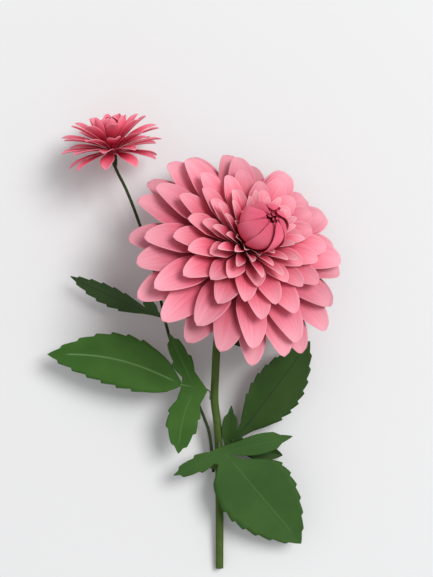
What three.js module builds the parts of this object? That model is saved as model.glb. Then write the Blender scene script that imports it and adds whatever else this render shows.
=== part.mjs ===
// A paper dahlia spray: a large flower and a small one on a branch, and five cut-paper leaves, on one stem.
// It lies as it comes to rest: on the lowest petal tips of both flowers and on the cut end of the stem.
// Millimetres. +Z is up from the table and +Y runs from the stem's cut end to the flowers.
import * as THREE from 'three';
import { mergeVertices } from 'three/addons/utils/BufferGeometryUtils.js';

// ---------------------------------------------------------------- driving dimensions

const petalPaper = 0.32; // thickness of the card that petals are cut from
const leafPaper = 0.36; // thickness of the leaf card
const gap = 0.3; // clearance between glued pieces

// A head is a core with rosettes of petals threaded on its neck, outermost first, and bud rosettes closed
// round its ball. Its axis leans over by tilt from straight up, towards heading (degrees, anticlockwise
// from +X). Each rosette is a row of the table under these columns:
// - n petals, phase of the first (degrees), z of its hub, and the length and width of a petal
// - rise and fall: a petal's slope above the hub's plane where it starts and at its tip (degrees)
// - cup: how far half a petal is bent across (degrees), and tuck: its lean over its neighbour (degrees)
const openColumns = ['name', 'n', 'phase', 'z', 'length', 'width', 'rise', 'fall', 'cup', 'tuck'];
// Bud petals follow a sphere of this radius round the ball, between two angles from its foot (degrees).
const budColumns = ['name', 'n', 'phase', 'radius', 'width', 'from', 'to', 'tuck'];

const bigHead = {
  name: 'flower_core',
  centre: [16, 26, 54.6],
  tilt: 33,
  heading: 47,
  core: {
    foot: -3, neck: 4.6, bore: 3.6, boreTop: 12, shoulder: 33, taper: 2,
    spindle: 2.8, ball: 8.4, ballHeight: 53,
  },
  open: [
    ['outer_petals_1', 11, -4, 0, 86, 27.5, 14, -20, 30, 0],
    ['outer_petals_2', 11, 12, 3, 85, 27.5, 17, -15, 30, 0],
    ['outer_petals_3', 12, 11, 6, 79, 26, 22, -11, 32, 4],
    ['middle_petals_1', 12, 14, 9, 62, 22, 31, 3, 34, 7],
    ['middle_petals_2', 12, -1, 12, 53, 19, 38, 7, 36, 7],
    ['middle_petals_3', 11, 26, 15, 42, 16.5, 45, 13, 38, 7],
    ['inner_petals_1', 12, 10, 18, 41, 9, 51, 28, 50, 0],
    ['inner_petals_2', 12, 25, 21, 36, 8, 60, 38, 50, 0],
    ['inner_petals_3', 10, 5, 24, 24, 7.5, 70, 42, 50, 0],
  ],
  bud: [
    ['bud_petals_1', 8, 10, 18.6, 17, 22, 164, 9],
    ['bud_petals_2', 7, 35, 15.2, 15, 22, 166, 9],
    ['bud_petals_3', 6, 5, 11.8, 13, 24, 168, 8],
  ],
};

const smallHead = {
  name: 'small_flower_core',
  centre: [-83.6, 110, 37.6],
  tilt: 76,
  heading: 97,
  core: {
    foot: -2, neck: 2.7, bore: 1.6, boreTop: 8, shoulder: 12, taper: 2,
    spindle: 2.2, ball: 4.4, ballHeight: 20,
  },
  open: [
    ['small_petals_1', 9, 10, 0, 33, 11.5, 0, -30, 30, 0],
    ['small_petals_2', 10, 28, 2, 36, 11.5, 16, -6, 30, 0],
    ['small_petals_3', 10, 8, 4, 37, 11.5, 32, 6, 32, 0],
    ['small_petals_4', 9, 30, 6, 33, 11, 48, 28, 36, 0],
    ['small_petals_5', 8, 8, 8, 24, 10, 48, 84, 34, 0],
  ],
  bud: [
    ['small_bud_petals_1', 7, 0, 9.2, 9.6, 30, 162, 9],
    ['small_bud_petals_2', 6, 30, 6.9, 8, 34, 162, 7],
  ],
};

// Petals are narrow at the foot, widest past the middle, and end in an ogive: tip sets how full its end is.
// Petals of one rosette differ a little by sway (lean), wobble (twist) and uneven (slope), in degrees.
// footShare is how much of the hub's edge their feet take up.
const openPetal = {
  widest: 0.62, tip: 0.52, sway: 4, wobble: 1.8, uneven: 1.5, footShare: 0.95, hubWidth: 2.2,
};
const budPetal = { widest: 0.5, tip: 0.75, sway: 0, wobble: 0, footShare: 0.95, cup: 24 };
// Shared by every petal: how its side swells, how its length varies, how its cup fades towards the tip, and
// the crease that rises from the share creaseFrom on. room is how much of its share of the circle a petal may
// fill: a rosette is cut from one sheet, so its petals lie side by side and never across each other.
const petalForm = { swell: 1.7, lengthJitter: 0.03, cupFade: 0.3, crease: 0.25, creaseFrom: 0.55, room: 0.9 };
const slopeSteps = 60; // steps that a petal's curved length is followed in
// The mesh of a petal: shares of its length that have a row of points, and the points in a row. Petals wider
// than broadFrom get the finer one.
const broadFrom = 20;
const broadPetal = { rows: [0.25, 0.5, 0.74, 0.92, 1], columns: 5 };
const narrowPetal = { rows: [0.34, 0.68, 0.91, 1], columns: 3 };
const closedPetal = { rows: [0.25, 0.5, 0.75, 0.92, 1], columns: 3 };

// Stems, from the low end up. The path is then carried on along the head's axis, at these heights on it.
const mainStem = {
  radius: 3.3,
  path: [
    [2.5, -233, 3], [2.5, -184, 8.2], [1.2, -116.7, 16], [-1.6, -92, 19.5], [-0.8, -67, 23.5], [0, -50, 27],
  ],
  reach: [-22, -14, 9],
  sides: 14,
  steps: 26,
};

const branchStem = {
  radius: 1.25,
  path: [
    [-2.6, -152, 11.2], [-3.4, -140, 12.2], [-6.2, -118.6, 13.4], [-9.5, -108.7, 13.8], [-23, -77, 15],
    [-37.5, -44.1, 16], [-46.5, -7, 19], [-52.9, 20.9, 22], [-64.8, 58.3, 29], [-73.2, 80, 33],
  ],
  reach: [-11.5, -6, 6],
  sides: 8,
  steps: 30,
};

// Tape holds the branch to the stem, and a tape cone sits under the small flower.
const binding = { from: -149, to: -139, clearance: 0.4, tape: 0.5 };
const collar = { bottom: -12, top: -2.4, bottomRadius: 2, topRadius: 2.9 };
const coreMesh = { sides: 14, ballSteps: 6 };
const collarSides = 12;
const bindingArc = 7; // steps round each end of the tape sleeve

// A leaf is one sheet: an end lobe and side lobes off a midrib. heading is the bearing of the end lobe,
// pitch lifts its tip, roll banks the sheet, fold raises both halves from the midrib (degrees) and droop
// lowers the tips. neck is the half width at the foot of the end lobe and base is the midrib behind it.
// leftNotch moves the left end of that foot, along and across the midrib. A lobe is widest at peak, shoulder
// rounds its foot (leftShoulder its left side alone), bow curves it, and turn is its angle off the end lobe.
// A side lobe's own midrib begins at start, a share of the base. foot is where the wire meets the stem.
const leaves = [
  {
    name: 'left_leaf', junction: [-28.4, -78.2, 31], heading: 167.5, pitch: 0, roll: 0, fold: 5, droop: 6,
    neck: 1.6, base: 21.8, foot: [-5.2, -91, 21],
    end: { length: 112.8, width: 43, peak: 0.44, shoulder: 0.6, bow: -8.4, teeth: 6 },
    left: { turn: 88.6, length: 55.8, width: 26, peak: 0.5, shoulder: 0.8, bow: -3, teeth: 3 },
    right: { turn: -52, length: 49, width: 15.5, peak: 0.5, shoulder: 0.8, bow: 0, teeth: 2 },
  },
  {
    name: 'branch_leaf', junction: [-53, -20.9, 24], heading: 157.2, pitch: 2, roll: -42, fold: 6, droop: 4,
    neck: 1.2, base: 13, foot: [-42.4, -29.6, 18.5],
    end: { length: 73.7, width: 22, peak: 0.5, shoulder: 0.9, bow: 0, teeth: 5 },
    right: { turn: -39, length: 24, width: 9, peak: 0.5, shoulder: 1.2, bow: 0, teeth: 1 },
  },
  {
    name: 'upper_right_leaf', junction: [18.6, -121.1, 14], heading: 52.4, pitch: 3, roll: 12, fold: 22,
    droop: 5, neck: 2.6, leftNotch: [-7.6, 0.7], base: 17, foot: [6.4, -136, 12],
    end: { length: 97.3, width: 42, peak: 0.5, shoulder: 0.9, leftShoulder: 1.1, bow: 0, teeth: 7 },
    left: { turn: 31.7, start: 1, length: 39, width: 12, peak: 0.5, shoulder: 1.2, bow: 0, teeth: 1 },
    right: { turn: -68.5, length: 44, width: 17, peak: 0.6, shoulder: 0.8, bow: 0, teeth: 1 },
  },
  {
    name: 'lower_right_leaf', junction: [9.4, -138, 24.5], heading: -50.1, pitch: -1, roll: 0, fold: 4,
    droop: 5, neck: 10.5, leftNotch: [0, 3], base: 10.4, foot: [2.2, -126, 20],
    end: { length: 94.1, width: 62, peak: 0.38, shoulder: 0.3, leftShoulder: 1.4, bow: 0, teeth: 6 },
    left: { turn: 62.9, length: 58, width: 16, peak: 0.5, shoulder: 0.7, bow: 0, teeth: 1 },
    right: { turn: -105, length: 45.7, width: 14, peak: 0.5, shoulder: 0.7, bow: 0, teeth: 2 },
  },
  {
    name: 'back_leaf', junction: [12.7, -38.2, 21], heading: 38, pitch: 0, roll: 0, fold: 6, droop: 3,
    neck: 1.2, base: 16, foot: [-1.5, -54, 21.4],
    end: { length: 42, width: 18, peak: 0.5, shoulder: 1.1, bow: 0, teeth: 3 },
    left: { turn: 69, length: 24, width: 12, peak: 0.5, shoulder: 0.8, bow: 0, teeth: 1 },
    right: { turn: -37, length: 32.7, width: 10, peak: 0.5, shoulder: 1.2, bow: 0, teeth: 1 },
  },
];
// Each leaf's wire is glued under its midrib, at these shares of the midrib's base, and grips it past the end
// lobe's foot.
const leafWire = { radius: 0.6, grip: 9, stations: [-1.05, -0.7, -0.2], sides: 6, steps: 8 };
// Saw teeth line a lobe from the share from, over the share share: each swells, then steps back at its notch.
const teeth = { depth: 2, from: 0.26, share: 0.68, swell: 0.72, notch: 0.84 };
// A lobe's other rows (the first only on an end lobe), its pointedness, the share of it over which its fold
// rises from its foot, and where a side lobe starts if it doesn't say.
const lobeForm = { rows: [0.1, 0.24], plainRows: [0.42, 0.66], point: 0.85, foldIn: 0.3, start: 0.5 };

// ---------------------------------------------------------------- small helpers

const radians = THREE.MathUtils.degToRad;
const fullTurn = 2 * Math.PI;
const quarter = Math.PI / 2;
const up = new THREE.Vector3(0, 0, 1);
const vector = (xyz) => new THREE.Vector3(...xyz);
const clamp01 = (x) => Math.min(1, Math.max(0, x));
const smooth = (x) => clamp01(x) ** 2 * (3 - 2 * clamp01(x));

// Hand-made unevenness: a fixed number from -1 to 1 for each petal and purpose.
const purposes = { length: 1, twist: 2, slope: 3, lean: 4 };
const scatter = { petal: 2.39, purpose: 1.7, start: 0.5 };
const uneven = (petal, purpose) =>
  Math.sin(petal * scatter.petal + purposes[purpose] * scatter.purpose + scatter.start);

// Paper: a sheet's middle surface, given half a thickness to each side and closed round its rims.
function thicken({ points, faces }, paper) {
  const normals = points.map(() => new THREE.Vector3());
  const rim = new Map();
  for (const [a, b, c] of faces) {
    const along = points[b].clone().sub(points[a]);
    const normal = along.cross(points[c].clone().sub(points[a]));
    for (const i of [a, b, c]) normals[i].add(normal);
    for (const [i, j] of [[a, b], [b, c], [c, a]]) {
      if (!rim.delete(`${j},${i}`)) rim.set(`${i},${j}`, [i, j]);
    }
  }
  const position = [];
  for (const side of [paper / 2, -paper / 2]) {
    points.forEach((point, i) => {
      const moved = point.clone().addScaledVector(normals[i].normalize(), side);
      position.push(...moved.toArray());
    });
  }
  const count = points.length;
  const index = faces.flatMap(([a, b, c]) => [a, b, c, count + a, count + c, count + b]);
  for (const [i, j] of rim.values()) index.push(i, count + i, count + j, i, count + j, j);
  const geometry = new THREE.BufferGeometry();
  geometry.setAttribute('position', new THREE.Float32BufferAttribute(position, 3));
  geometry.setIndex(index);
  return geometry;
}

// Two rows of points, each right to left, joined by triangles that face up.
function joinRows(faces, low, high) {
  for (let j = 0; j < low.length - 1; j++) {
    faces.push([low[j], high[j], high[j + 1]], [low[j], high[j + 1], low[j + 1]]);
  }
}

// A row closed to a single point at the tip.
function closeRow(faces, low, tip) {
  for (let j = 0; j < low.length - 1; j++) faces.push([low[j], tip, low[j + 1]]);
}

const named = (columns, row) => Object.fromEntries(columns.map((column, i) => [column, row[i]]));

// ---------------------------------------------------------------- petals and rosettes

// Half the petal's width at share s of its length.
function petalHalfWidth(petal, s) {
  const half = petal.width / 2;
  if (s < petal.widest) {
    const share = Math.sin(quarter * (s / petal.widest)) ** petalForm.swell;
    return petal.footHalf + (half - petal.footHalf) * share;
  }
  return half * Math.cos(quarter * ((s - petal.widest) / (1 - petal.widest))) ** petal.tip;
}

// One rosette: a paper hub ring with its petals. petal.slope(s, i) is the angle of petal i above the hub's
// plane at share s of its length. Each petal is a trough, creased at the tip, that may lean on the next one.
function rosetteSheet(petal) {
  const { n, columns, rows } = petal;
  const points = [];
  const faces = [];
  const phase = radians(petal.phase);
  const around = n * (columns - 1);
  for (const radius of [petal.inner, petal.outer]) {
    for (let j = 0; j < around; j++) {
      const angle = phase + (fullTurn * (j - (columns - 1) / 2)) / around;
      points.push(new THREE.Vector3(radius * Math.cos(angle), radius * Math.sin(angle), petal.z));
    }
  }
  for (let j = 0; j < around; j++) {
    const next = (j + 1) % around;
    faces.push([j, around + j, around + next], [j, around + next, next]);
  }
  for (let i = 0; i < n; i++) {
    const length = petal.length * (1 + petalForm.lengthJitter * uneven(i, 'length'));
    const twist = radians(petal.wobble * uneven(i, 'twist'));
    const lean = Math.tan(radians(petal.tuck + petal.sway * uneven(i, 'lean')));
    const turn = phase + (fullTurn * i) / n;
    const addPoint = (x, y, z, s) => {
      points.push(new THREE.Vector3(x, y, z).applyAxisAngle(up, turn + twist * s));
      return points.length - 1;
    };
    let low = Array.from({ length: columns }, (_, j) => around + ((i * (columns - 1) + j) % around));
    let reach = petal.outer;
    let height = petal.z;
    let step = 0;
    for (const s of rows) {
      for (; step < Math.round(s * slopeSteps); step++) {
        const angle = petal.slope((step + 0.5) / slopeSteps, i);
        reach += (Math.cos(angle) * length) / slopeSteps;
        height += (Math.sin(angle) * length) / slopeSteps;
      }
      if (s === 1) {
        closeRow(faces, low, addPoint(reach, 0, height, s));
        break;
      }
      const angle = petal.slope(s, i);
      const half = Math.min(petalHalfWidth(petal, s), reach * Math.tan(Math.PI / n) * petalForm.room);
      const bend = radians(petal.cup) * (1 - petalForm.cupFade * s);
      const crease = petalForm.crease * smooth((s - petalForm.creaseFrom) / (1 - petalForm.creaseFrom));
      const high = low.map((_, j) => {
        const t = (2 * j) / (columns - 1) - 1;
        const across = (half * Math.sin(bend * t)) / bend;
        const trough = (half * (1 - Math.cos(bend * t))) / bend;
        const lift = trough + crease * half * Math.abs(t) + lean * half * t * smooth(s * 4);
        return addPoint(reach - lift * Math.sin(angle), across, height + lift * Math.cos(angle), s);
      });
      joinRows(faces, low, high);
      low = high;
    }
  }
  return { points, faces };
}

// An open rosette's petals leave the hub at rise and bend evenly to fall at the tip.
function openRosette(row, core) {
  const spec = named(openColumns, row);
  const inner = core.neck + gap;
  const outer = inner + openPetal.hubWidth;
  const footHalf = outer * Math.sin(Math.PI / spec.n) * openPetal.footShare;
  const fall = (i) => spec.fall - spec.rise + openPetal.uneven * uneven(i, 'slope');
  const slope = (s, i) => radians(spec.rise + fall(i) * s);
  const mesh = spec.width > broadFrom ? broadPetal : narrowPetal;
  return rosetteSheet({ ...openPetal, ...mesh, ...spec, inner, outer, footHalf, slope });
}

// A bud rosette's petals follow a sphere round the core's ball, from near its foot to near its top.
function budRosette(row, core) {
  const spec = named(budColumns, row);
  const start = radians(spec.from);
  const sweep = radians(spec.to) - start;
  const inner = core.spindle + gap;
  const outer = spec.radius * Math.sin(start);
  const footHalf = outer * Math.sin(Math.PI / spec.n) * budPetal.footShare;
  const z = core.ballHeight - spec.radius * Math.cos(start);
  const length = spec.radius * sweep;
  const slope = (s) => start + sweep * s;
  return rosetteSheet({ ...budPetal, ...closedPetal, ...spec, inner, outer, footHalf, z, length, slope });
}

// The core: a turned ball on a stepped neck, with a blind bore for the stem.
function coreGeometry(core) {
  const profile = [
    [0, core.boreTop], [core.bore, core.boreTop], [core.bore, core.foot], [core.neck, core.foot],
    [core.neck, core.shoulder - core.taper], [core.spindle, core.shoulder],
  ];
  const first = Math.asin(core.spindle / core.ball);
  for (let i = 0; i < coreMesh.ballSteps; i++) {
    const angle = first + ((Math.PI - first) * i) / coreMesh.ballSteps;
    profile.push([core.ball * Math.sin(angle), core.ballHeight - core.ball * Math.cos(angle)]);
  }
  profile.push([0, core.ballHeight + core.ball]);
  return turned(profile, coreMesh.sides);
}

// A solid of revolution about +Z from [radius, height] points.
function turned(profile, sides) {
  const lathe = new THREE.LatheGeometry(profile.map(([r, h]) => new THREE.Vector2(r, h)), sides);
  return lathe.rotateX(quarter);
}

// ---------------------------------------------------------------- leaves

// Half width of a lobe at share s of its length, without the saw teeth. t is above 0 on its left side.
function lobeHalfWidth(lobe, s, t) {
  const half = lobe.width / 2;
  const shoulder = t > 0 && lobe.leftShoulder ? lobe.leftShoulder : lobe.shoulder;
  if (s < lobe.peak) return half * Math.sin(quarter * (s / lobe.peak)) ** shoulder;
  return half * Math.cos(quarter * ((s - lobe.peak) / (1 - lobe.peak))) ** lobeForm.point;
}

// Rows across a lobe, as [share of its length, sideways change of its edge]: teeth swell, then step back.
function lobeRows(lobe) {
  const plain = lobe.turn === undefined ? lobeForm.rows : lobeForm.rows.slice(1);
  const rows = plain.map((s) => [s, 0]);
  const pitch = teeth.share / lobe.teeth;
  for (let k = 0; k < lobe.teeth; k++) {
    rows.push([teeth.from + pitch * (k + teeth.swell), teeth.depth / 2]);
    rows.push([teeth.from + pitch * (k + teeth.notch), -teeth.depth / 2]);
  }
  if (lobe.teeth < 2) rows.push(...lobeForm.plainRows.map((s) => [s, 0]));
  return rows.sort((a, b) => a[0] - b[0]);
}

// A leaf's sheet: the end lobe runs along +X from the origin, the midrib runs back from it, and the side
// lobes spread from that midrib.
function leafSheet(leaf) {
  const points = [];
  const faces = [];
  const crease = Math.tan(radians(leaf.fold));
  const addPoint = (u, v, offRib) => {
    const drop = leaf.droop * (Math.hypot(u, v) / leaf.end.length) ** 2;
    points.push(new THREE.Vector3(u, v, crease * offRib - drop));
    return points.length - 1;
  };
  // start is where the lobe's own midrib begins, and first is its first row of points, right to left.
  const addLobe = (lobe, start, first) => {
    const turn = radians(lobe.turn ?? 0);
    const along = new THREE.Vector2(Math.cos(turn), Math.sin(turn));
    let low = first;
    for (const [s, tooth] of lobeRows(lobe)) {
      const middle = lobe.bow * Math.sin(Math.PI * s);
      const reach = s * lobe.length;
      const high = [-1, 0, 1].map((t) => {
        const half = lobeHalfWidth(lobe, s, t) + tooth;
        const side = middle + t * half;
        const u = start + along.x * reach - along.y * side;
        const v = along.y * reach + along.x * side;
        return addPoint(u, v, Math.abs(t) * half * smooth(s / lobeForm.foldIn));
      });
      joinRows(faces, low, high);
      low = high;
    }
    closeRow(faces, low, addPoint(start + along.x * lobe.length, along.y * lobe.length, 0));
  };
  const junction = addPoint(0, 0, 0);
  const midrib = addPoint(-leaf.base / 2, 0, 0);
  const foot = addPoint(-leaf.base, 0, 0);
  const [notchAlong, notchAcross] = leaf.leftNotch ?? [0, leaf.neck];
  const rightNotch = addPoint(0, -leaf.neck, leaf.neck);
  const leftNotch = addPoint(notchAlong, notchAcross, notchAcross);
  faces.push([junction, leftNotch, midrib], [junction, midrib, rightNotch]);
  const startOf = (lobe) => -leaf.base * (lobe.start ?? lobeForm.start);
  addLobe(leaf.end, 0, [rightNotch, junction, leftNotch]);
  if (leaf.left) addLobe(leaf.left, startOf(leaf.left), [leftNotch, midrib, foot]);
  if (leaf.right) addLobe(leaf.right, startOf(leaf.right), [foot, midrib, rightNotch]);
  return { points, faces };
}

// ---------------------------------------------------------------- stems and wires

const smoothPath = (points) => new THREE.CatmullRomCurve3(points, false, 'centripetal');

// A round bar along a curve.
function bar(curve, { radius, sides, steps }) {
  const corners = Array.from({ length: sides }, (_, i) => {
    const angle = (fullTurn * i) / sides;
    return new THREE.Vector2(radius * Math.cos(angle), radius * Math.sin(angle));
  });
  const options = { extrudePath: curve, steps, bevelEnabled: false };
  return new THREE.ExtrudeGeometry(new THREE.Shape(corners), options);
}

// A stem's curve, carried on along the head's axis.
function stemCurve(spec, head) {
  const onAxis = spec.reach.map((height) => head.localToWorld(new THREE.Vector3(0, 0, height)));
  return smoothPath([...spec.path.map(vector), ...onAxis]);
}

// The point of a curve at a given y.
const searchSteps = 400;
function pointAt(curve, y) {
  const closer = (best, point) => (Math.abs(point.y - y) < Math.abs(best.y - y) ? point : best);
  return curve.getPoints(searchSteps).reduce(closer);
}

// A tape sleeve round the stem and the branch beside it: two arcs and the straight runs between them.
function bindingGeometry(stem, branch) {
  const low = pointAt(stem, binding.from);
  const high = pointAt(stem, binding.to);
  const middle = low.clone().lerp(high, 0.5);
  const along = high.clone().sub(low).normalize();
  const side = pointAt(branch, middle.y).sub(middle);
  side.addScaledVector(along, -side.dot(along));
  const spread = side.length();
  const outline = (grow) => {
    const big = mainStem.radius + grow;
    const little = branchStem.radius + grow;
    const lean = Math.asin((big - little) / spread);
    const path = new THREE.Path();
    path.absarc(0, 0, big, quarter - lean, 3 * quarter + lean, false);
    path.absarc(spread, 0, little, lean - quarter, quarter - lean, false);
    return path.getPoints(bindingArc);
  };
  const shape = new THREE.Shape(outline(binding.clearance + binding.tape));
  shape.holes.push(new THREE.Path(outline(binding.clearance).reverse()));
  const depth = binding.to - binding.from;
  const sleeve = new THREE.ExtrudeGeometry(shape, { depth, bevelEnabled: false });
  sleeve.translate(0, 0, -depth / 2);
  const across = side.normalize();
  const frame = new THREE.Matrix4().makeBasis(across, along.clone().cross(across), along);
  return sleeve.applyMatrix4(frame.setPosition(middle));
}

// ---------------------------------------------------------------- assembly

const paperOf = (color) => new THREE.MeshStandardMaterial({ color, roughness: 0.85, metalness: 0 });
const finishes = {
  petal: paperOf(0xe88ba0),
  bud: paperOf(0xdb6c86),
  smallPetal: paperOf(0xcf5a76),
  core: paperOf(0xb8506a),
  leaf: paperOf(0x3f6b2e),
  stem: paperOf(0x5c6f35),
  branch: paperOf(0x36461f),
  wire: new THREE.MeshStandardMaterial({ color: 0x6f7f52, roughness: 0.5, metalness: 0.3 }),
};

const flower = new THREE.Group();
flower.name = 'paper_flower';

function addPiece(parent, name, geometry, finish) {
  const mesh = new THREE.Mesh(geometry, finish);
  mesh.name = name;
  parent.add(mesh);
}

// A group that holds pieces drawn about its own origin, turned by heading, then tilt, then roll (degrees).
function addFrame(position, heading, tilt, roll) {
  const frame = new THREE.Group();
  frame.position.set(...position);
  frame.rotation.set(radians(roll), radians(tilt), radians(heading), 'ZYX');
  flower.add(frame);
  frame.updateMatrixWorld(true);
  return frame;
}

function addHead(spec, openFinish, budFinish) {
  const head = addFrame(spec.centre, spec.heading, spec.tilt, 0);
  const addRosette = (name, sheet, finish) => addPiece(head, name, thicken(sheet, petalPaper), finish);
  for (const row of spec.open) addRosette(row[0], openRosette(row, spec.core), openFinish);
  for (const row of spec.bud) addRosette(row[0], budRosette(row, spec.core), budFinish);
  addPiece(head, spec.name, coreGeometry(spec.core), finishes.core);
  return head;
}

// The wire starts at the stem and lies just under the leaf's midrib.
function addLeaf(spec) {
  const frame = addFrame(spec.junction, spec.heading, -spec.pitch, spec.roll);
  addPiece(frame, spec.name, thicken(leafSheet(spec), leafPaper), finishes.leaf);
  const under = leafPaper / 2 + gap + leafWire.radius;
  const stations = [...leafWire.stations.map((share) => share * spec.base), leafWire.grip];
  const grip = stations.map((u) => {
    const drop = spec.droop * (u / spec.end.length) ** 2;
    return frame.localToWorld(new THREE.Vector3(u, 0, -under - drop));
  });
  const curve = smoothPath([vector(spec.foot), ...grip]);
  addPiece(flower, `${spec.name}_wire`, bar(curve, leafWire), finishes.wire);
}

const big = addHead(bigHead, finishes.petal, finishes.bud);
const small = addHead(smallHead, finishes.smallPetal, finishes.smallPetal);
const collarBore = branchStem.radius + gap;
const collarProfile = [
  [collarBore, collar.bottom], [collar.bottomRadius, collar.bottom], [collar.topRadius, collar.top],
  [collarBore, collar.top], [collarBore, collar.bottom],
];
addPiece(small, 'small_flower_collar', turned(collarProfile, collarSides), finishes.branch);
for (const leaf of leaves) addLeaf(leaf);

const mainCurve = stemCurve(mainStem, big);
const branchCurve = stemCurve(branchStem, small);
addPiece(flower, 'main_stem', bar(mainCurve, mainStem), finishes.stem);
addPiece(flower, 'branch_stem', bar(branchCurve, branchStem), finishes.branch);
addPiece(flower, 'stem_binding', bindingGeometry(mainCurve, branchCurve), finishes.stem);

// The origin goes to the middle of the bounding box's bottom, on the table.
flower.updateMatrixWorld(true);
const box = new THREE.Box3().setFromObject(flower, true);
const centre = box.getCenter(new THREE.Vector3());
flower.position.set(-centre.x, -centre.y, -box.min.z);

export default flower;
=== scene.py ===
# A paper dahlia spray: card petals, saw-toothed leaves and taped stems, built round the fixed frame.
import math

import bpy
import numpy as np
from mathutils import Matrix, Vector


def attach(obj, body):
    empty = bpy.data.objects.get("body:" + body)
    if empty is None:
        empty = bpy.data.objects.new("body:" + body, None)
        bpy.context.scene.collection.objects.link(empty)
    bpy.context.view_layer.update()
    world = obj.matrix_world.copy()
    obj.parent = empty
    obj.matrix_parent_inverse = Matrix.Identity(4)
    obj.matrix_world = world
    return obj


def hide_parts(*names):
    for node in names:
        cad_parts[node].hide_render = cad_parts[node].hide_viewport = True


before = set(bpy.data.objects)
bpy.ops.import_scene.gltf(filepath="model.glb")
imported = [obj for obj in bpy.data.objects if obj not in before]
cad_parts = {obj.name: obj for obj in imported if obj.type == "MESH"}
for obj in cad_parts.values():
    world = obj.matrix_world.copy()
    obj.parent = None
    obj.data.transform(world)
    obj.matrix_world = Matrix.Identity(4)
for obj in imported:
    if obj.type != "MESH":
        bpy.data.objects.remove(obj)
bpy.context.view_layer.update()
mm = 0.001
quarterTurn = math.pi / 2
print("stage: frame loaded,", len(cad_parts), "nodes")


# Lengths are in millimetres until a mesh is made.

def smoothStep(x):
    x = min(1.0, max(0.0, x))
    return x * x * (3 - 2 * x)


scatter = {"petal": 2.39, "purpose": 1.7, "start": 0.5}
purposes = {"length": 1, "twist": 2, "slope": 3, "lean": 4, "tone": 5, "wave": 6}


def uneven(petal, purpose):  # a fixed number from -1 to 1 for each petal and purpose
    phase = petal * scatter["petal"] + purposes[purpose] * scatter["purpose"] + scatter["start"]
    return math.sin(phase)


def turnMatrix(heading, tilt, roll):  # degrees about Z, then about Y, then about X
    spin = Matrix.Rotation(math.radians(heading), 4, "Z")
    lean = Matrix.Rotation(math.radians(tilt), 4, "Y")
    return spin @ lean @ Matrix.Rotation(math.radians(roll), 4, "X")


def placed(points, matrix):  # a list of points through a matrix, as an array
    grid = np.array(matrix, float)
    return np.asarray(points, float) @ grid[:3, :3].T + grid[:3, 3]


def smoothPath(points, count):  # centripetal Catmull-Rom through the points
    line = [np.array(p, float) for p in points]
    line = [2 * line[0] - line[1], *line, 2 * line[-1] - line[-2]]
    spans = len(line) - 3
    out = []
    for k in range(count + 1):
        along = spans * k / count
        i = min(int(along), spans - 1)
        w = along - i
        a, b, c, d = line[i:i + 4]
        da, db, dc = (math.sqrt(np.linalg.norm(q - p)) for p, q in ((a, b), (b, c), (c, d)))
        t1 = ((b - a) / da - (c - a) / (da + db) + (c - b) / db) * db
        t2 = ((c - b) / db - (d - b) / (db + dc) + (d - c) / dc) * db
        square = (-3 * b + 3 * c - 2 * t1 - t2) * w**2
        cube = (2 * b - 2 * c + t1 + t2) * w**3
        out.append(b + t1 * w + square + cube)
    return np.array(out)


def makePiece(name, points, faces, values, cutFaces, material):  # points in millimetres
    mesh = bpy.data.meshes.new(name)
    mesh.from_pydata([tuple(p) for p in np.asarray(points) * mm], [], faces)
    for key, numbers in values.items():
        attribute = mesh.attributes.new(key, "FLOAT", "POINT")
        attribute.data.foreach_set("value", np.array(numbers, np.float32))
    cut = np.zeros(len(faces), np.float32)
    cut[cutFaces:] = 1  # the walls of a sheet's cut edge come last
    mesh.attributes.new("cutEdge", "FLOAT", "FACE").data.foreach_set("value", cut)
    mesh.polygons.foreach_set("use_smooth", cut < 0.5)
    mesh.materials.append(material)
    mesh.update()
    piece = bpy.data.objects.new(name, mesh)
    bpy.context.scene.collection.objects.link(piece)
    return piece


def thicken(points, faces, values, paper):  # a sheet's middle surface to a closed card
    points = np.array(points, float)
    normals = np.zeros_like(points)
    rim = {}
    for face in faces:
        a, b, c = points[face[0]], points[face[1]], points[face[2]]
        normal = np.cross(b - a, c - a)
        if len(face) == 4:
            normal = normal + np.cross(c - a, points[face[3]] - a)
        for i in face:
            normals[i] += normal
        for i, j in zip(face, face[1:] + face[:1]):
            if rim.pop((j, i), None) is None:
                rim[(i, j)] = True
    normals /= np.linalg.norm(normals, axis=1)[:, None]
    count = len(points)
    both = np.vstack([points + normals * paper / 2, points - normals * paper / 2])
    shell = [list(f) for f in faces] + [[count + i for i in reversed(f)] for f in faces]
    walls = [[i, count + i, count + j, j] for i, j in rim]
    doubled = {key: list(numbers) * 2 for key, numbers in values.items()}
    return both, shell + walls, doubled, len(shell)


def joinRows(faces, low, high):
    for j in range(len(low) - 1):
        faces.append([low[j], high[j], high[j + 1], low[j + 1]])


def closeRow(faces, low, tip):
    for j in range(len(low) - 1):
        faces.append([low[j], tip, low[j + 1]])


def finishPiece(piece, slotName, *nodes):
    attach(piece, "root")
    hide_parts(*nodes)


# Shared effects are node groups. The shader itself stays in each material.

def newGroup(name, inputs, outputs):
    group = bpy.data.node_groups.new(name, "ShaderNodeTree")
    for title, kind, value in inputs:
        group.interface.new_socket(title, in_out="INPUT", socket_type=kind).default_value = value
    for title, kind in outputs:
        group.interface.new_socket(title, in_out="OUTPUT", socket_type=kind)
    entry, leave = group.nodes.new("NodeGroupInput"), group.nodes.new("NodeGroupOutput")
    return group, entry, leave


def mathNode(tree, kind, first, second=None):
    node = tree.nodes.new("ShaderNodeMath")
    node.operation = kind
    for slot, value in enumerate((first, second)):
        if value is None:
            continue
        if isinstance(value, (int, float)):
            node.inputs[slot].default_value = value
        else:
            tree.links.new(value, node.inputs[slot])
    return node.outputs[0]


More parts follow.
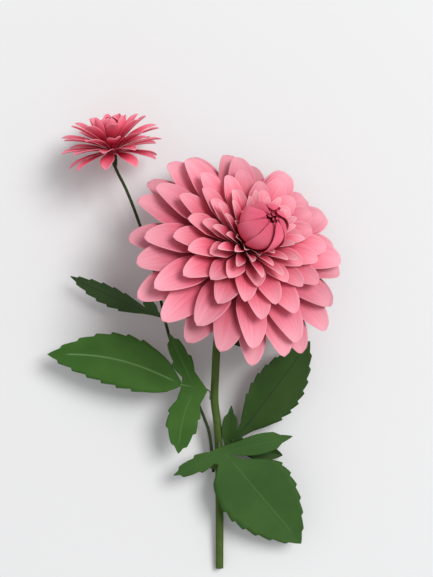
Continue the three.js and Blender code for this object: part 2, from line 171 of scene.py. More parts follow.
def mixColour(tree, share, first, second):
    node = tree.nodes.new("ShaderNodeMix")
    node.data_type = "RGBA"
    for slot, value in (("Factor_Float", share), ("A_Color", first), ("B_Color", second)):
        socket = next(s for s in node.inputs if s.identifier == slot)
        if isinstance(value, (int, float, tuple)):
            socket.default_value = value
        else:
            tree.links.new(value, socket)
    return next(s for s in node.outputs if s.identifier == "Result_Color")


def attributeValue(tree, name):
    node = tree.nodes.new("ShaderNodeAttribute")
    node.attribute_name = name
    return node.outputs["Fac"]


def noiseOn(tree, vector, scale, detail):
    node = tree.nodes.new("ShaderNodeTexNoise")
    node.inputs["Detail"].default_value = detail
    tree.links.new(vector, node.inputs["Vector"])
    if isinstance(scale, (int, float)):
        node.inputs["Scale"].default_value = scale
    else:
        tree.links.new(scale, node.inputs["Scale"])
    return node.outputs["Fac"]


def ranged(tree, value, low, high, newLow, newHigh):
    node = tree.nodes.new("ShaderNodeMapRange")
    node.interpolation_type = "SMOOTHSTEP"
    for slot, number in zip(("From Min", "From Max", "To Min", "To Max"), (low, high, newLow, newHigh)):
        if isinstance(number, (int, float)):
            node.inputs[slot].default_value = number
        else:
            tree.links.new(number, node.inputs[slot])
    tree.links.new(value, node.inputs["Value"])
    return node.outputs["Result"]


def buildCardGrain():  # the tooth of the card and its slow, blotchy change of tone
    group, entry, leave = newGroup(
        "cardGrain",
        [("Tooth Scale", "NodeSocketFloat", 1600.0), ("Blotch Scale", "NodeSocketFloat", 60.0)],
        [("Height", "NodeSocketFloat"), ("Blotch", "NodeSocketFloat")],
    )
    place = group.nodes.new("ShaderNodeTexCoord").outputs["Object"]
    tooth = noiseOn(group, place, entry.outputs["Tooth Scale"], 3.0)
    blotch = noiseOn(group, place, entry.outputs["Blotch Scale"], 2.0)
    group.links.new(tooth, leave.inputs["Height"])
    group.links.new(blotch, leave.inputs["Blotch"])
    return group


# The dark foot of each petal is partly the card's own colour and partly painted shade where the rows
# overlap.
petalShading = {
    "streakAlong": 1.6, "streakAcross": 9.0, "streakShift": 23.0, "streakDetail": 3.0,
    "footToBody": (0.2, 0.72), "bodyToTip": (0.58, 1.02), "rimFrom": 0.93, "rimShare": 0.35,
    "mottle": 0.18, "petalChange": 0.10,
}


def buildPetalColour():  # deep foot, partly the card's own colour and partly painted shade between the overlapping rows, pale tip, lengthwise streaks and a pale cut edge
    group, entry, leave = newGroup(
        "petalColour",
        [
            ("Foot", "NodeSocketColor", (0.5, 0.05, 0.1, 1)),
            ("Body", "NodeSocketColor", (0.7, 0.2, 0.3, 1)),
            ("Tip", "NodeSocketColor", (0.8, 0.4, 0.5, 1)),
            ("Cut", "NodeSocketColor", (0.9, 0.6, 0.65, 1)),
            ("Streak", "NodeSocketFloat", 0.1),
            ("Blotch", "NodeSocketFloat", 0.5),
        ],
        [("Color", "NodeSocketColor"), ("Streaks", "NodeSocketFloat")],
    )
    along = attributeValue(group, "alongPetal")
    across = attributeValue(group, "acrossPetal")
    tone = attributeValue(group, "petalTone")
    joined = group.nodes.new("ShaderNodeCombineXYZ")
    group.links.new(mathNode(group, "MULTIPLY", along, petalShading["streakAlong"]), joined.inputs["X"])
    group.links.new(mathNode(group, "MULTIPLY", across, petalShading["streakAcross"]), joined.inputs["Y"])
    group.links.new(mathNode(group, "MULTIPLY", tone, petalShading["streakShift"]), joined.inputs["Z"])
    streaks = noiseOn(group, joined.outputs["Vector"], 1.0, petalShading["streakDetail"])
    stray = mathNode(group, "SUBTRACT", streaks, 0.5)
    stray = mathNode(group, "MULTIPLY", stray, entry.outputs["Streak"])
    where = mathNode(group, "ADD", along, stray)
    lowShare = ranged(group, where, *petalShading["footToBody"], 0.0, 1.0)
    low = mixColour(group, lowShare, entry.outputs["Foot"], entry.outputs["Body"])
    highShare = ranged(group, where, *petalShading["bodyToTip"], 0.0, 1.0)
    whole = mixColour(group, highShare, low, entry.outputs["Tip"])
    outward = mathNode(group, "ABSOLUTE", across)
    rim = ranged(group, outward, petalShading["rimFrom"], 1.0, 0.0, petalShading["rimShare"])
    rim = mathNode(group, "MAXIMUM", rim, attributeValue(group, "cutEdge"))
    edged = mixColour(group, rim, whole, entry.outputs["Cut"])
    shade = group.nodes.new("ShaderNodeHueSaturation")
    group.links.new(edged, shade.inputs["Color"])
    mottle = mathNode(group, "SUBTRACT", entry.outputs["Blotch"], 0.5)
    mottle = mathNode(group, "MULTIPLY", mottle, petalShading["mottle"])
    # the tone darkens or lightens each petal at random, and darkens the back rows as painted shade
    change = mathNode(group, "MULTIPLY", tone, petalShading["petalChange"])
    level = mathNode(group, "ADD", change, mathNode(group, "ADD", mottle, 1.0))
    group.links.new(level, shade.inputs["Value"])
    group.links.new(shade.outputs["Color"], leave.inputs["Color"])
    group.links.new(streaks, leave.inputs["Streaks"])
    return group


leafPatch = (0.32, 0.68)  # the grain values between which one green turns to the other


def buildLeafColour():  # two greens in slow patches, with the pressed midrib as a thin line
    group, entry, leave = newGroup(
        "leafColour",
        [
            ("Green", "NodeSocketColor", (0.05, 0.15, 0.04, 1)),
            ("Other Green", "NodeSocketColor", (0.07, 0.18, 0.05, 1)),
            ("Rib", "NodeSocketColor", (0.1, 0.25, 0.08, 1)),
            ("Cut", "NodeSocketColor", (0.15, 0.25, 0.1, 1)),
            ("Blotch", "NodeSocketFloat", 0.5),
        ],
        [("Color", "NodeSocketColor")],
    )
    patch = ranged(group, entry.outputs["Blotch"], *leafPatch, 0.0, 1.0)
    green = mixColour(group, patch, entry.outputs["Green"], entry.outputs["Other Green"])
    onRib = attributeValue(group, "onRib")
    ribbed = mixColour(group, onRib, green, entry.outputs["Rib"])
    edged = mixColour(group, attributeValue(group, "cutEdge"), ribbed, entry.outputs["Cut"])
    group.links.new(edged, leave.inputs["Color"])
    return group


tapePatch = {"from": 0.3, "to": 0.75, "share": 0.6}  # how far the tape darkens in blotches


def buildTapeColour():  # a wound strip, blotched, and darker where one turn laps the next
    group, entry, leave = newGroup(
        "tapeColour",
        [
            ("Tape", "NodeSocketColor", (0.1, 0.14, 0.04, 1)),
            ("Lap", "NodeSocketColor", (0.05, 0.08, 0.02, 1)),
            ("Blotch", "NodeSocketFloat", 0.5),
        ],
        [("Color", "NodeSocketColor")],
    )
    blotch = entry.outputs["Blotch"]
    patch = ranged(group, blotch, tapePatch["from"], tapePatch["to"], 0.0, tapePatch["share"])
    lap = mathNode(group, "MAXIMUM", attributeValue(group, "tapeLap"), patch)
    colour = mixColour(group, lap, entry.outputs["Tape"], entry.outputs["Lap"])
    group.links.new(colour, leave.inputs["Color"])
    return group


cardGrain = buildCardGrain()
petalColour = buildPetalColour()
leafColour = buildLeafColour()
tapeColour = buildTapeColour()


def placeGroup(tree, group, values):
    node = tree.nodes.new("ShaderNodeGroup")
    node.node_tree = group
    for title, value in values.items():
        node.inputs[title].default_value = (*value, 1) if isinstance(value, tuple) else value
    return node


def cardMaterial(name, colourGroup, colours, look):
    material = bpy.data.materials.new(name)
    material.use_nodes = True
    tree = material.node_tree
    shader = tree.nodes["Principled BSDF"]
    shader.inputs["Roughness"].default_value = look["roughness"]
    shader.inputs["Specular IOR Level"].default_value = look["gloss"]
    grain = placeGroup(tree, cardGrain, {"Tooth Scale": look["tooth"], "Blotch Scale": look["blotch"]})
    colour = placeGroup(tree, colourGroup, colours)
    tree.links.new(grain.outputs["Blotch"], colour.inputs["Blotch"])
    tree.links.new(colour.outputs["Color"], shader.inputs["Base Color"])
    bump = tree.nodes.new("ShaderNodeBump")
    bump.inputs["Strength"].default_value = look["bump"]
    bump.inputs["Distance"].default_value = look["relief"] * mm
    height = grain.outputs["Height"]
    if "Streaks" in colour.outputs:
        height = mathNode(tree, "ADD", height, colour.outputs["Streaks"])
    tree.links.new(height, bump.inputs["Height"])
    tree.links.new(bump.outputs["Normal"], shader.inputs["Normal"])
    return material


petalLook = {"roughness": 0.8, "gloss": 0.25, "tooth": 1600.0,
             "blotch": 45.0, "bump": 0.35, "relief": 0.12}
leafLook = {"roughness": 0.72, "gloss": 0.3, "tooth": 1400.0,
            "blotch": 38.0, "bump": 0.4, "relief": 0.15}
tapeLook = {"roughness": 0.75, "gloss": 0.3, "tooth": 1100.0,
            "blotch": 70.0, "bump": 0.5, "relief": 0.2}

# The Foot colours hold painted shade of the crevices as well as the card's own deep colour.
petalFinishes = {
    "outer": {"Foot": (0.46, 0.025, 0.065), "Body": (0.70, 0.135, 0.205), "Tip": (0.84, 0.36, 0.43),
              "Cut": (0.86, 0.42, 0.48), "Streak": 0.24},
    "middle": {"Foot": (0.48, 0.022, 0.06), "Body": (0.73, 0.125, 0.195), "Tip": (0.86, 0.34, 0.41),
               "Cut": (0.88, 0.44, 0.50), "Streak": 0.24},
    "inner": {"Foot": (0.46, 0.016, 0.05), "Body": (0.70, 0.085, 0.155), "Tip": (0.90, 0.42, 0.49),
              "Cut": (0.92, 0.56, 0.60), "Streak": 0.18},
    "bud": {"Foot": (0.60, 0.045, 0.095), "Body": (0.82, 0.155, 0.235), "Tip": (0.66, 0.085, 0.15),
            "Cut": (0.52, 0.05, 0.10), "Streak": 0.25},
    "small": {"Foot": (0.48, 0.012, 0.045), "Body": (0.82, 0.115, 0.190), "Tip": (0.90, 0.26, 0.34),
              "Cut": (0.86, 0.34, 0.40), "Streak": 0.25},
}
petalCard = {
    key: cardMaterial(f"{key}PetalCard", petalColour, colours, petalLook)
    for key, colours in petalFinishes.items()
}
tapeFinishes = {
    "stem": {"Tape": (0.066, 0.118, 0.016), "Lap": (0.030, 0.058, 0.007)},
    "branch": {"Tape": (0.030, 0.046, 0.012), "Lap": (0.015, 0.025, 0.006)},
    "wire": {"Tape": (0.10, 0.15, 0.075), "Lap": (0.06, 0.09, 0.045)},
    "core": {"Tape": (0.62, 0.06, 0.12), "Lap": (0.50, 0.04, 0.09)},
}
tapePaper = {
    key: cardMaterial(f"{key}Tape", tapeColour, colours, tapeLook)
    for key, colours in tapeFinishes.items()
}
print("stage: materials made")


petalPaper = 0.32
gap = 0.3
openColumns = ("name", "n", "phase", "z", "length", "width", "rise", "fall", "cup", "tuck")
budColumns = ("name", "n", "phase", "radius", "width", "from", "to", "tuck")
bigHead = {
    "centre": (16, 26, 54.6), "tilt": 33, "heading": 47, "core": "flower_core",
    "neck": 4.6, "spindle": 2.8, "ball": 8.4, "ballHeight": 53,
    "open": [
        ("outer_petals_1", 11, -4, 0, 86, 27.5, 14, -20, 30, 0),
        ("outer_petals_2", 11, 12, 3, 85, 27.5, 17, -15, 30, 0),
        ("outer_petals_3", 12, 11, 6, 79, 26, 22, -11, 32, 4),
        ("middle_petals_1", 12, 14, 9, 62, 22, 31, 3, 34, 7),
        ("middle_petals_2", 12, -1, 12, 53, 19, 38, 7, 36, 7),
        ("middle_petals_3", 11, 26, 15, 42, 16.5, 45, 13, 38, 7),
        ("inner_petals_1", 12, 10, 18, 41, 9, 51, 28, 50, 0),
        ("inner_petals_2", 12, 25, 21, 36, 8, 60, 38, 50, 0),
        ("inner_petals_3", 10, 5, 24, 24, 7.5, 70, 42, 50, 0),
    ],
    "bud": [
        ("bud_petals_1", 8, 10, 18.6, 17, 22, 164, 9),
        ("bud_petals_2", 7, 35, 15.2, 15, 22, 166, 9),
        ("bud_petals_3", 6, 5, 11.8, 13, 24, 168, 8),
    ],
}
smallHead = {
    "centre": (-83.6, 110, 37.6), "tilt": 76, "heading": 97, "core": "small_flower_core",
    "neck": 2.7, "spindle": 2.2, "ball": 4.4, "ballHeight": 20,
    "open": [
        ("small_petals_1", 9, 10, 0, 33, 11.5, 0, -30, 30, 0),
        ("small_petals_2", 10, 28, 2, 36, 11.5, 16, -6, 30, 0),
        ("small_petals_3", 10, 8, 4, 37, 11.5, 32, 6, 32, 0),
        ("small_petals_4", 9, 30, 6, 33, 11, 48, 28, 36, 0),
        ("small_petals_5", 8, 8, 8, 24, 10, 48, 84, 34, 0),
    ],
    "bud": [
        ("small_bud_petals_1", 7, 0, 9.2, 9.6, 30, 162, 9),
        ("small_bud_petals_2", 6, 30, 6.9, 8, 34, 162, 7),
    ],
}
openPetal = {
    "widest": 0.62, "tip": 0.52, "sway": 4, "wobble": 1.8, "overlap": 0, "swirl": 0,
    "slopeJitter": 1.5, "hubWidth": 2.2,
}
budPetal = {
    "widest": 0.5, "tip": 0.75, "sway": 0, "wobble": 0, "overlap": 0.18, "swirl": 22, "cup": 24,
}
petalForm = {
    "swell": 1.7, "lengthJitter": 0.03, "cupFade": 0.3, "crease": 0.25, "creaseFrom": 0.55,
    "room": 0.9, "footShare": 0.95, "steps": 60, "leanIn": 4,
    "overlapStart": (0.25, 0.2), "overlapEnd": (0.55, 0.25),  # share of the length, and over how much
    "rimWave": 0.014, "wavesAlong": 9, "waveShift": 5, "waveSlant": 2, "waveIn": 2,
}
backRowPaintedShade = {"outer_petals_1": -1.2, "outer_petals_2": -0.3}  # painted shade: the back rows, sheltered under the rows above, are darkened
petalMesh = {  # rows along and points across, by the petal's width
    "large": (22, 13), "small": (15, 9), "largeFrom": 15, "crowding": 1.15, "lastRow": 0.985,
}


def petalHalfWidth(petal, s):
    half = petal["width"] / 2
    if s < petal["widest"]:
        rise = math.sin(quarterTurn * s / petal["widest"]) ** petalForm["swell"]
        return petal["footHalf"] + (half - petal["footHalf"]) * rise
    fall = math.cos(quarterTurn * (s - petal["widest"]) / (1 - petal["widest"]))
    return half * max(0.0, fall) ** petal["tip"]


def rosetteSheet(petal):
    rowCount, columns = petalMesh["large" if petal["width"] > petalMesh["largeFrom"] else "small"]
    shares = [math.sin(quarterTurn * (k + 1) / rowCount) ** petalMesh["crowding"]
              for k in range(rowCount)]  # closer together near the tip
    shares = [s for s in shares if s < petalMesh["lastRow"]]
    n = petal["n"]
    around = n * (columns - 1)
    phase = math.radians(petal["phase"])
    points, faces, along, across, tone = [], [], [], [], []

    def addPoint(xyz, s, t, shade):
        points.append(xyz)
        along.append(s)
        across.append(t)
        tone.append(shade)
        return len(points) - 1

    for radius in (petal["inner"], petal["outer"]):
        for j in range(around):
            angle = phase + 2 * math.pi * (j - (columns - 1) / 2) / around
            addPoint((radius * math.cos(angle), radius * math.sin(angle), petal["z"]), 0, 0, 0)
    for j in range(around):
        following = (j + 1) % around
        faces.append([j, around + j, around + following, following])
    steps = petalForm["steps"]
    for i in range(n):
        length = petal["length"] * (1 + petalForm["lengthJitter"] * uneven(i, "length"))
        twist = math.radians(petal["wobble"] * uneven(i, "twist") + petal["swirl"])
        lean = math.tan(math.radians(petal["tuck"] + petal["sway"] * uneven(i, "lean")))
        turn = phase + 2 * math.pi * i / n
        # each petal's random tone, plus painted shade on the back rows
        petalTone = uneven(i, "tone") + backRowPaintedShade.get(petal["name"], 0)
        reaches, heights = [petal["outer"]], [petal["z"]]
        for step in range(steps):
            angle = petal["slope"]((step + 0.5) / steps, i)
            reaches.append(reaches[-1] + math.cos(angle) * length / steps)
            heights.append(heights[-1] + math.sin(angle) * length / steps)
        low = [around + (i * (columns - 1) + j) % around for j in range(columns)]
        for s in shares:
            reach = float(np.interp(s * steps, range(steps + 1), reaches))
            height = float(np.interp(s * steps, range(steps + 1), heights))
            spin = turn + twist * s
            angle = petal["slope"](s, i)
            begin, end = petalForm["overlapStart"], petalForm["overlapEnd"]
            middle = smoothStep((s - begin[0]) / begin[1]) * (1 - smoothStep((s - end[0]) / end[1]))
            room = petalForm["room"] + petal["overlap"] * middle  # neighbours overlap only in mid petal
            half = min(petalHalfWidth(petal, s), reach * math.tan(math.pi / n) * room)
            bend = math.radians(petal["cup"]) * (1 - petalForm["cupFade"] * s)
            creased = (s - petalForm["creaseFrom"]) / (1 - petalForm["creaseFrom"])
            fold = petalForm["crease"] * smoothStep(creased)
            high = []
            for j in range(columns):
                t = 2 * j / (columns - 1) - 1
                sideways = half * math.sin(bend * t) / bend
                lift = half * (1 - math.cos(bend * t)) / bend + fold * half * abs(t)
                lift += lean * half * t * smoothStep(s * petalForm["leanIn"])
                wave = math.sin(petalForm["wavesAlong"] * s + petalForm["waveShift"] * uneven(i, "wave")
                                + petalForm["waveSlant"] * t)
                wave *= petalForm["rimWave"] * half * smoothStep(s * petalForm["waveIn"])
                lift += wave * t * t
                x = reach - lift * math.sin(angle)
                spot = (x * math.cos(spin) - sideways * math.sin(spin),
                        x * math.sin(spin) + sideways * math.cos(spin), height + lift * math.cos(angle))
                high.append(addPoint(spot, s, t, petalTone))
            joinRows(faces, low, high)
            low = high
        spin = turn + twist
        tip = (reaches[-1] * math.cos(spin), reaches[-1] * math.sin(spin), heights[-1])
        closeRow(faces, low, addPoint(tip, 1, 0, petalTone))
    return points, faces, {"alongPetal": along, "acrossPetal": across, "petalTone": tone}


def openRosette(row, head):
    petal = {**openPetal, **dict(zip(openColumns, row))}
    petal["inner"] = head["neck"] + gap
    petal["outer"] = petal["inner"] + petal["hubWidth"]
    petal["footHalf"] = petal["outer"] * math.sin(math.pi / petal["n"]) * petalForm["footShare"]
    drop = petal["fall"] - petal["rise"]
    petal["slope"] = lambda s, i: math.radians(
        petal["rise"] + (drop + petal["slopeJitter"] * uneven(i, "slope")) * s)
    return petal


def budRosette(row, head):
    petal = {**budPetal, **dict(zip(budColumns, row))}
    start = math.radians(petal["from"])
    sweep = math.radians(petal["to"]) - start
    petal["inner"] = head["spindle"] + gap
    petal["outer"] = petal["radius"] * math.sin(start)
    petal["footHalf"] = petal["outer"] * math.sin(math.pi / petal["n"]) * petalForm["footShare"]
    petal["z"] = head["ballHeight"] - petal["radius"] * math.cos(start)
    petal["length"] = petal["radius"] * sweep
    petal["slope"] = lambda s, i: start + sweep * s
    return petal


def headMatrix(head):  # the core's topmost point along its axis says where the head sits
    turned = turnMatrix(head["heading"], head["tilt"], 0)
    axis = turned.to_3x3() @ Vector((0, 0, 1))
    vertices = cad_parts[head["core"]].data.vertices
    top = max((v.co for v in vertices), key=lambda spot: spot.dot(axis))
    centre = top / mm - axis * (head["ballHeight"] + head["ball"])
    return Matrix.Translation(centre) @ turned


def buildHead(head, materialFor, slotFor):
    matrix = headMatrix(head)
    rows = [(row, openRosette) for row in head["open"]] + [(row, budRosette) for row in head["bud"]]
    for row, shape in rows:
        name = row[0]
        points, faces, values = rosetteSheet(shape(row, head))
        card = thicken(placed(points, matrix), faces, values, petalPaper)
        piece = makePiece(f"{name}_card", *card, petalCard[materialFor(name)])
        finishPiece(piece, slotFor(name), name)
    return matrix


def bigFinish(name):
    return name.split("_")[0]


bigMatrix = buildHead(bigHead, bigFinish, lambda name: f"{bigFinish(name)}_petal")
smallMatrix = buildHead(smallHead, lambda name: "small", lambda name: "small_petal")
layoutShift = bigMatrix.translation - Vector(bigHead["centre"])
print("stage: flowers made")


leafPaper = 0.36
# The greens differ from leaf to leaf as painted light and shade: lighter on the left leaf, darker on the
# upper right leaf and darkest on the back leaf, which lie behind others in shade.
leaves = [
    {"name": "left_leaf", "junction": (-28.4, -78.2, 31), "heading": 167.5, "pitch": 0, "roll": 0,
     "fold": 5, "droop": 6, "neck": 1.6, "base": 21.8, "foot": (-5.2, -91, 21),
     "green": (0.032, 0.105, 0.009), "otherGreen": (0.044, 0.128, 0.014), "rib": (0.13, 0.25, 0.085),
     "end": {"length": 112.8, "width": 43, "peak": 0.44, "shoulder": 0.6, "bow": -8.4, "teeth": 6},
     "left": {"turn": 88.6, "length": 55.8, "width": 26, "peak": 0.5, "shoulder": 0.8, "bow": -3,
              "teeth": 3},
     "right": {"turn": -52, "length": 49, "width": 15.5, "peak": 0.5, "shoulder": 0.8, "bow": 0,
               "teeth": 2}},
    {"name": "branch_leaf", "junction": (-53, -20.9, 24), "heading": 157.2, "pitch": 2, "roll": -42,
     "fold": 6, "droop": 4, "neck": 1.2, "base": 13, "foot": (-42.4, -29.6, 18.5),
     "green": (0.026, 0.060, 0.011), "otherGreen": (0.036, 0.078, 0.016), "rib": (0.02, 0.05, 0.010),
     "end": {"length": 73.7, "width": 22, "peak": 0.5, "shoulder": 0.9, "bow": 0, "teeth": 5},
     "right": {"turn": -39, "length": 24, "width": 9, "peak": 0.5, "shoulder": 1.2, "bow": 0,
               "teeth": 1}},
    {"name": "upper_right_leaf", "junction": (18.6, -121.1, 14), "heading": 52.4, "pitch": 3, "roll": 12,
     "fold": 22, "droop": 5, "neck": 2.6, "leftNotch": (-7.6, 0.7), "base": 17, "foot": (6.4, -136, 12),
     "green": (0.017, 0.052, 0.004), "otherGreen": (0.025, 0.067, 0.007), "rib": (0.008, 0.026, 0.003),
     "end": {"length": 97.3, "width": 42, "peak": 0.5, "shoulder": 0.9, "leftShoulder": 1.1, "bow": 0,
             "teeth": 7},
     "left": {"turn": 31.7, "start": 1, "length": 39, "width": 12, "peak": 0.5, "shoulder": 1.2,
              "bow": 0, "teeth": 1},
     "right": {"turn": -68.5, "length": 44, "width": 17, "peak": 0.6, "shoulder": 0.8, "bow": 0,
               "teeth": 1}},
    {"name": "lower_right_leaf", "junction": (9.4, -138, 24.5), "heading": -50.1, "pitch": -1, "roll": 0,
     "fold": 4, "droop": 5, "neck": 10.5, "leftNotch": (0, 3), "base": 10.4, "foot": (2.2, -126, 20),
     "green": (0.028, 0.086, 0.011), "otherGreen": (0.039, 0.104, 0.016), "rib": (0.052, 0.125, 0.030),
     "end": {"length": 94.1, "width": 62, "peak": 0.38, "shoulder": 0.3, "leftShoulder": 1.4, "bow": 0,
             "teeth": 6},
     "left": {"turn": 62.9, "length": 58, "width": 16, "peak": 0.5, "shoulder": 0.7, "bow": 0, "teeth": 1},
     "right": {"turn": -105, "length": 45.7, "width": 14, "peak": 0.5, "shoulder": 0.7, "bow": 0,
               "teeth": 2}},
    {"name": "back_leaf", "junction": (12.7, -38.2, 21), "heading": 38, "pitch": 0, "roll": 0, "fold": 6,
     "droop": 3, "neck": 1.2, "base": 16, "foot": (-1.5, -54, 21.4),
     "green": (0.012, 0.036, 0.005), "otherGreen": (0.018, 0.048, 0.008), "rib": (0.01, 0.03, 0.004),
     "end": {"length": 42, "width": 18, "peak": 0.5, "shoulder": 1.1, "bow": 0, "teeth": 3},
     "left": {"turn": 69, "length": 24, "width": 12, "peak": 0.5, "shoulder": 0.8, "bow": 0, "teeth": 1},
     "right": {"turn": -37, "length": 32.7, "width": 10, "peak": 0.5, "shoulder": 1.2, "bow": 0,
               "teeth": 1}},
]
cutTone = 1.6  # a leaf's cut edge is this much lighter than its lighter green
teeth = {
    "depth": 2, "from": 0.26, "share": 0.68, "swell": 0.72, "notch": 0.84, "inward": 1.6, "clear": 0.006,
}
lobeForm = {
    "point": 0.85, "foldIn": 0.3, "start": 0.5, "firstRow": 0.1, "sideFirstRow": 0.24,
    "lastRow": 0.985, "rows": 44, "baseRows": (0.12, 0.3, 0.5, 0.75),
}
rib = {
    "half": 0.5, "height": 0.28, "ends": 0.93, "fade": 0.1, "beside": 3, "sideLobes": 0.3, "baseFade": 1.0,
}
ribClear = rib["half"] * rib["beside"]  # far enough from a rib not to rise with it
ribShares = (0.015, 0.035, 0.07, 0.16, 0.28, 0.42, 0.56, 0.7, 0.84, 1)
acrossLeaf = [-t for t in reversed(ribShares)] + [0] + list(ribShares)


def lobeHalfWidth(lobe, s, t):
    half = lobe["width"] / 2
    shoulder = lobe.get("leftShoulder", lobe["shoulder"]) if t > 0 else lobe["shoulder"]
    if s < lobe["peak"]:
        return half * math.sin(quarterTurn * s / lobe["peak"]) ** shoulder
    fall = math.cos(quarterTurn * (s - lobe["peak"]) / (1 - lobe["peak"]))
    return half * max(0.0, fall) ** lobeForm["point"]


def toothRows(lobe):  # (share of the length, sideways change of the edge) for each row
    first = lobeForm["sideFirstRow" if "turn" in lobe else "firstRow"]
    pitch = teeth["share"] / lobe["teeth"]
    keys = [(first, 0.0), (teeth["from"], 0.0)]
    for k in range(lobe["teeth"]):
        keys.append((teeth["from"] + pitch * (k + teeth["swell"]), teeth["depth"] / 2))
        keys.append((teeth["from"] + pitch * (k + teeth["notch"]), -teeth["depth"] / 2))
    keys.append((1.0, 0.0))
    shares = [k[0] for k in keys]
    between = np.linspace(first, lobeForm["lastRow"], lobeForm["rows"])
    clear = [s for s in between if min(abs(s - key) for key in shares) > teeth["clear"]]
    rows = sorted(set(clear) | set(shares[:-1]))
    return [(s, float(np.interp(s, shares, [k[1] for k in keys]))) for s in rows]


def leafSheet(leaf):
    points, faces, onRib, plain = [], [], [], []
    slant = math.tan(math.radians(leaf["fold"]))

    def addPoint(u, v, offRib, fromRib, strength=1.0):
        drop = leaf["droop"] * (math.hypot(u, v) / leaf["end"]["length"]) ** 2
        ridge = strength * math.exp(-((fromRib / rib["half"]) ** 2))
        points.append((u, v, slant * offRib - drop + rib["height"] * ridge))
        onRib.append(ridge)
        plain.append((u, v, offRib, fromRib))
        return len(points) - 1

    def edge(start, end, shares):  # points from start to end, both given as (u, v, offRib)
        return [tuple(a + (b - a) * w for a, b in zip(start, end)) for w in shares]

    junction, midrib, foot = (0, 0, 0), (-leaf["base"] / 2, 0, 0), (-leaf["base"], 0, 0)
    u, v = leaf.get("leftNotch", (0, leaf["neck"]))
    leftNotch, rightNotch = (u, v, v), (0, -leaf["neck"], leaf["neck"])
    made = {}

    def known(spot):  # one point for each place, so that neighbouring patches share their edge
        key = tuple(round(c, 4) for c in spot)
        if key not in made:
            behind = smoothStep(1 + spot[0] / leaf["base"] * rib["baseFade"])
            made[key] = addPoint(*spot, abs(spot[1]) + (1 - behind) * ribClear)
        return made[key]

    def firstRow(right, middle, left):
        spots = [edge(middle, right, [-t])[0] for t in acrossLeaf if t < 0]
        spots += [middle] + [edge(middle, left, [t])[0] for t in acrossLeaf if t > 0]
        return [known(spot) for spot in spots]

    def addLobe(lobe, start, low):
        turn = math.radians(lobe.get("turn", 0))
        strength = rib["sideLobes"] if "turn" in lobe else 1.0
        base = [plain[i] for i in low]
        c, sn = math.cos(turn), math.sin(turn)
        for s, tooth in toothRows(lobe):
            middle = lobe["bow"] * math.sin(math.pi * s)
            fade = smoothStep((rib["ends"] - s) / rib["fade"])
            spots = []
            for t in acrossLeaf:
                outward = smoothStep(1 - (1 - abs(t)) * teeth["inward"])
                half = lobeHalfWidth(lobe, s, t) + tooth * outward
                side = middle + t * half
                fromRib = abs(t) * half + (1 - fade) * ribClear
                u = start + c * s * lobe["length"] - sn * side
                v = sn * s * lobe["length"] + c * side
                spots.append((u, v, abs(t) * half * smoothStep(s / lobeForm["foldIn"]), fromRib))
            if base:  # extra rows from the leaf's base out to the lobe's first row
                for w in lobeForm["baseRows"]:
                    mixed = [[a + (b - a) * w for a, b in zip(p[:3], q[:3])]
                             for p, q in zip(base, spots)]
                    between = [addPoint(*m, max(q[3], ribClear * (1 - w)), strength)
                               for m, q in zip(mixed, spots)]
                    joinRows(faces, low, between)
                    low = between
                base = None
            high = [addPoint(*spot, strength) for spot in spots]
            joinRows(faces, low, high)
            low = high
        closeRow(faces, low, addPoint(start + c * lobe["length"], sn * lobe["length"], 0, ribClear))

    def addPatch(notch, flip):  # from the junction and the midrib to a notch, in strips
        shares = [0, *ribShares]
        upper = [known(p) for p in edge(junction, notch, shares)]
        lower = [known(p) for p in edge(midrib, notch, shares)]
        for k in range(len(shares) - 1):
            corners = [upper[k], upper[k + 1], lower[k + 1], lower[k]]
            strip = list(dict.fromkeys(corners))  # the last one is a triangle
            faces.append(strip if not flip else strip[::-1])

    addPatch(leftNotch, False)
    addPatch(rightNotch, True)
    addLobe(leaf["end"], 0, firstRow(rightNotch, junction, leftNotch))
    for side, row in (("left", (leftNotch, midrib, foot)), ("right", (foot, midrib, rightNotch))):
        if side in leaf:
            start = leaf[side].get("start", lobeForm["start"])
            addLobe(leaf[side], -leaf["base"] * start, firstRow(*row))
    return points, faces, {"onRib": onRib}


def leafMatrix(leaf):
    turned = turnMatrix(leaf["heading"], -leaf["pitch"], leaf["roll"])
    return Matrix.Translation(Vector(leaf["junction"]) + layoutShift) @ turned


for leaf in leaves:
    colours = {"Green": leaf["green"], "Other Green": leaf["otherGreen"], "Rib": leaf["rib"],
               "Cut": tuple(c * cutTone for c in leaf["otherGreen"])}
    material = cardMaterial(f"{leaf['name']}Card", leafColour, colours, leafLook)
    points, faces, values = leafSheet(leaf)
    card = thicken(placed(points, leafMatrix(leaf)), faces, values, leafPaper)
    finishPiece(makePiece(f"{leaf['name']}_card", *card, material), "leaf", leaf["name"])
print("stage: leaves made")


lapForm = {"rise": 0.92, "markFrom": 0.86, "markWidth": 0.1}  # shares of one turn of the tape


